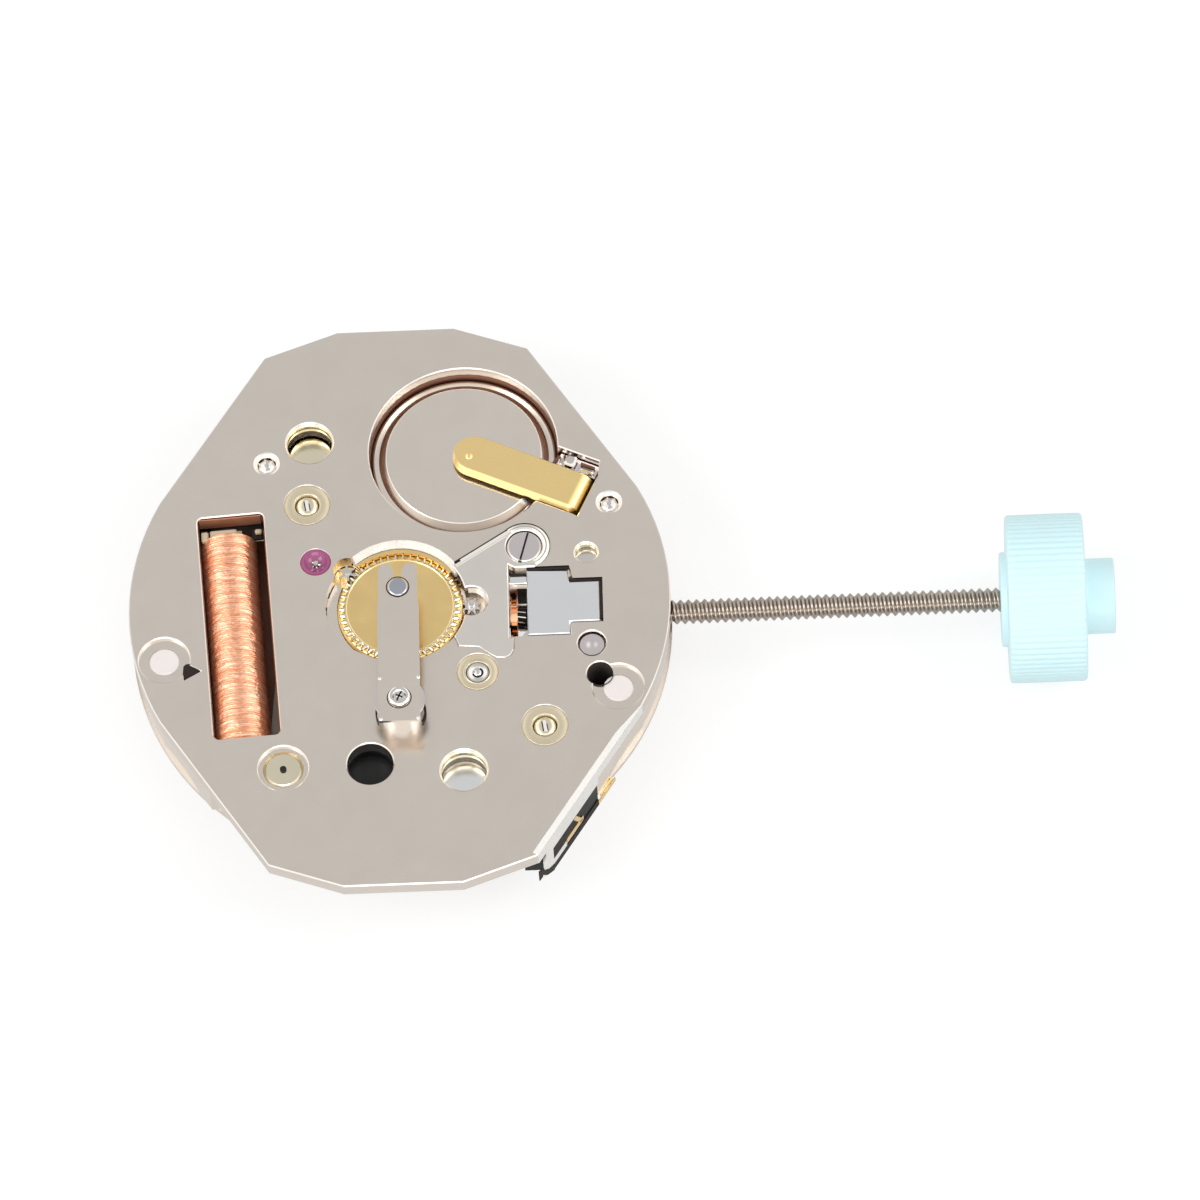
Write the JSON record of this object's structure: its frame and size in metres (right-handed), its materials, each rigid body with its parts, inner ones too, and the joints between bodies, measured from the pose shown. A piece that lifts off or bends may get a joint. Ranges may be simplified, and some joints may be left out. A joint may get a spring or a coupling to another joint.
{
  "type": "quartz watch movement",
  "caption": "Slim quartz watch movement seen from the battery side: nickel plate, cell, coil, gold seconds wheel under a strap, long threaded stem and a pale plastic crown.",
  "frame": {"origin": "on the axis of the hands, at the face that the dial rests on", "axes": "+Z to the battery side along the axis of the hands, +X along the stem towards the crown, +Y towards the battery's end"},
  "size_m": [0.0359, 0.0232, 0.0061],
  "materials": {
    "nickel_plate": "fine satin nickel",
    "grey_nickel": "fine satin nickel, cooler than the plate",
    "polished_steel": "polished steel",
    "soft_iron": "dull annealed iron",
    "gilt_brass": "gilt, fine satin",
    "bush_brass": "bare turned brass",
    "rose_gilt": "rose gilt",
    "battery_can": "satin nickel-plated steel",
    "copper_wire": "varnished copper wire",
    "black_resin": "matte black moulding",
    "beige_resin": "matte beige moulding",
    "white_resin": "matte white moulding",
    "clear_sheet": "thin translucent sheet",
    "board_green": "lacquered laminate",
    "ruby": "polished synthetic ruby",
    "crown_plastic": "pale blue moulded plastic"
  },
  "bodies": {
    "movement": {"bridge_plate": "nickel_plate", "main_plate": "nickel_plate", "dial_side_plate": "nickel_plate", "circuit_frame": "black_resin", "train_plate": "nickel_plate", "battery": "battery_can", "battery_insulator": "clear_sheet", "battery_contact": "gilt_brass", "contact_block": "black_resin", "case_contact": "gilt_brass", "circuit_board": "board_green", "ic_chip": "black_resin", "quartz_crystal": "polished_steel", "coil_winding": "copper_wire", "coil_core": "soft_iron", "coil_bobbin": "beige_resin", "stator": "soft_iron", "keyless_cover": "grey_nickel", "stem_guide_plate": "grey_nickel", "strap_pillar": "polished_steel", "seconds_strap": "nickel_plate", "strap_screw": "polished_steel", "bridge_bushes": "bush_brass", "bridge_studs": "bush_brass", "yoke_bush": "bush_brass", "rotor_jewel": "ruby", "coil_pillar": "bush_brass", "circuit_pillar": "polished_steel", "frame_pillar": "polished_steel", "ground_pin": "bush_brass", "dome_pin": "polished_steel", "locating_pins": "polished_steel", "dial_foot_plugs": "white_resin", "side_tab": "polished_steel", "side_trace": "gilt_brass", "rim_contact": "gilt_brass"},
    "seconds": {"seconds_wheel": "gilt_brass", "seconds_arbor": "polished_steel"},
    "fifth": {"fifth_wheel": "gilt_brass", "fifth_pinion": "polished_steel"},
    "rotor_body": {"rotor": "polished_steel"},
    "third": {"third_wheel": "gilt_brass"},
    "centre": {"centre_wheel": "rose_gilt", "cannon_pinion": "polished_steel"},
    "setting": {"setting_wheel": "rose_gilt", "setting_arbor": "polished_steel"},
    "minute": {"minute_wheel": "gilt_brass"},
    "hour": {"hour_wheel": "gilt_brass"},
    "clutch": {"clutch_wheel": "rose_gilt"},
    "stem_and_crown": {"stem": "polished_steel", "crown": "crown_plastic"},
    "lever": {"setting_lever": "polished_steel"},
    "yoke_body": {"yoke": "polished_steel"}
  },
  "joints": [
    {"name": "seconds_turn", "type": "hinge", "parent": "movement", "child": "seconds", "pos_m": [0, 0, 0.00189], "axis": [0, 0, 1], "continuous": true},
    {"name": "fifth_turn", "type": "hinge", "parent": "movement", "child": "fifth", "pos_m": [-0.0019, 0.00148, 0.00151], "axis": [0, 0, 1], "continuous": true},
    {"name": "rotor_turn", "type": "hinge", "parent": "movement", "child": "rotor_body", "pos_m": [-0.00304, 0.00186, 0.0009], "axis": [0, 0, 1], "continuous": true},
    {"name": "third_turn", "type": "hinge", "parent": "movement", "child": "third", "pos_m": [-0.00168, -0.002, 0.00151], "axis": [0, 0, 1], "continuous": true},
    {"name": "centre_turn", "type": "hinge", "parent": "movement", "child": "centre", "pos_m": [0, 0, 0.00132], "axis": [0, 0, 1], "continuous": true},
    {"name": "setting_turn", "type": "hinge", "parent": "movement", "child": "setting", "pos_m": [0.00261, 0, 0.00043], "axis": [0, 0, 1], "continuous": true},
    {"name": "minute_turn", "type": "hinge", "parent": "movement", "child": "minute", "pos_m": [-0.00068, -0.00188, 0.00047], "axis": [0, 0, 1], "continuous": true},
    {"name": "hour_turn", "type": "hinge", "parent": "movement", "child": "hour", "pos_m": [0, 0, 0.00028], "axis": [0, 0, 1], "continuous": true},
    {"name": "crown_turn", "type": "hinge", "parent": "movement", "child": "clutch", "pos_m": [0.00441, 0, 0.00075], "axis": [1, 0, 0], "continuous": true},
    {"name": "crown_pull", "type": "slide", "parent": "clutch", "child": "stem_and_crown", "axis": [1, 0, 0], "range_m": [0, 0.0005]},
    {"name": "lever_swing", "type": "hinge", "parent": "movement", "child": "lever", "pos_m": [0.00458, 0.0022, 0.0014], "axis": [0, 0, 1], "range_deg": [0, 14.6]},
    {"name": "yoke_swing", "type": "hinge", "parent": "movement", "child": "yoke_body", "pos_m": [0.0028, -0.00298, 0.00075], "axis": [0, 0, 1], "range_deg": [0, 4.6]}
  ],
  "couplings": [
    {"joint": "fifth_turn", "follows": "seconds_turn", "ratio": -8.3333},
    {"joint": "rotor_turn", "follows": "seconds_turn", "ratio": 30},
    {"joint": "third_turn", "follows": "seconds_turn", "ratio": -0.13333},
    {"joint": "centre_turn", "follows": "seconds_turn", "ratio": 0.016667},
    {"joint": "setting_turn", "follows": "seconds_turn", "ratio": -0.13333},
    {"joint": "minute_turn", "follows": "seconds_turn", "ratio": -0.0055556},
    {"joint": "hour_turn", "follows": "seconds_turn", "ratio": 0.0013889},
    {"joint": "lever_swing", "follows": "crown_pull", "rad_per_m": 509},
    {"joint": "yoke_swing", "follows": "crown_pull", "rad_per_m": 160}
  ]
}
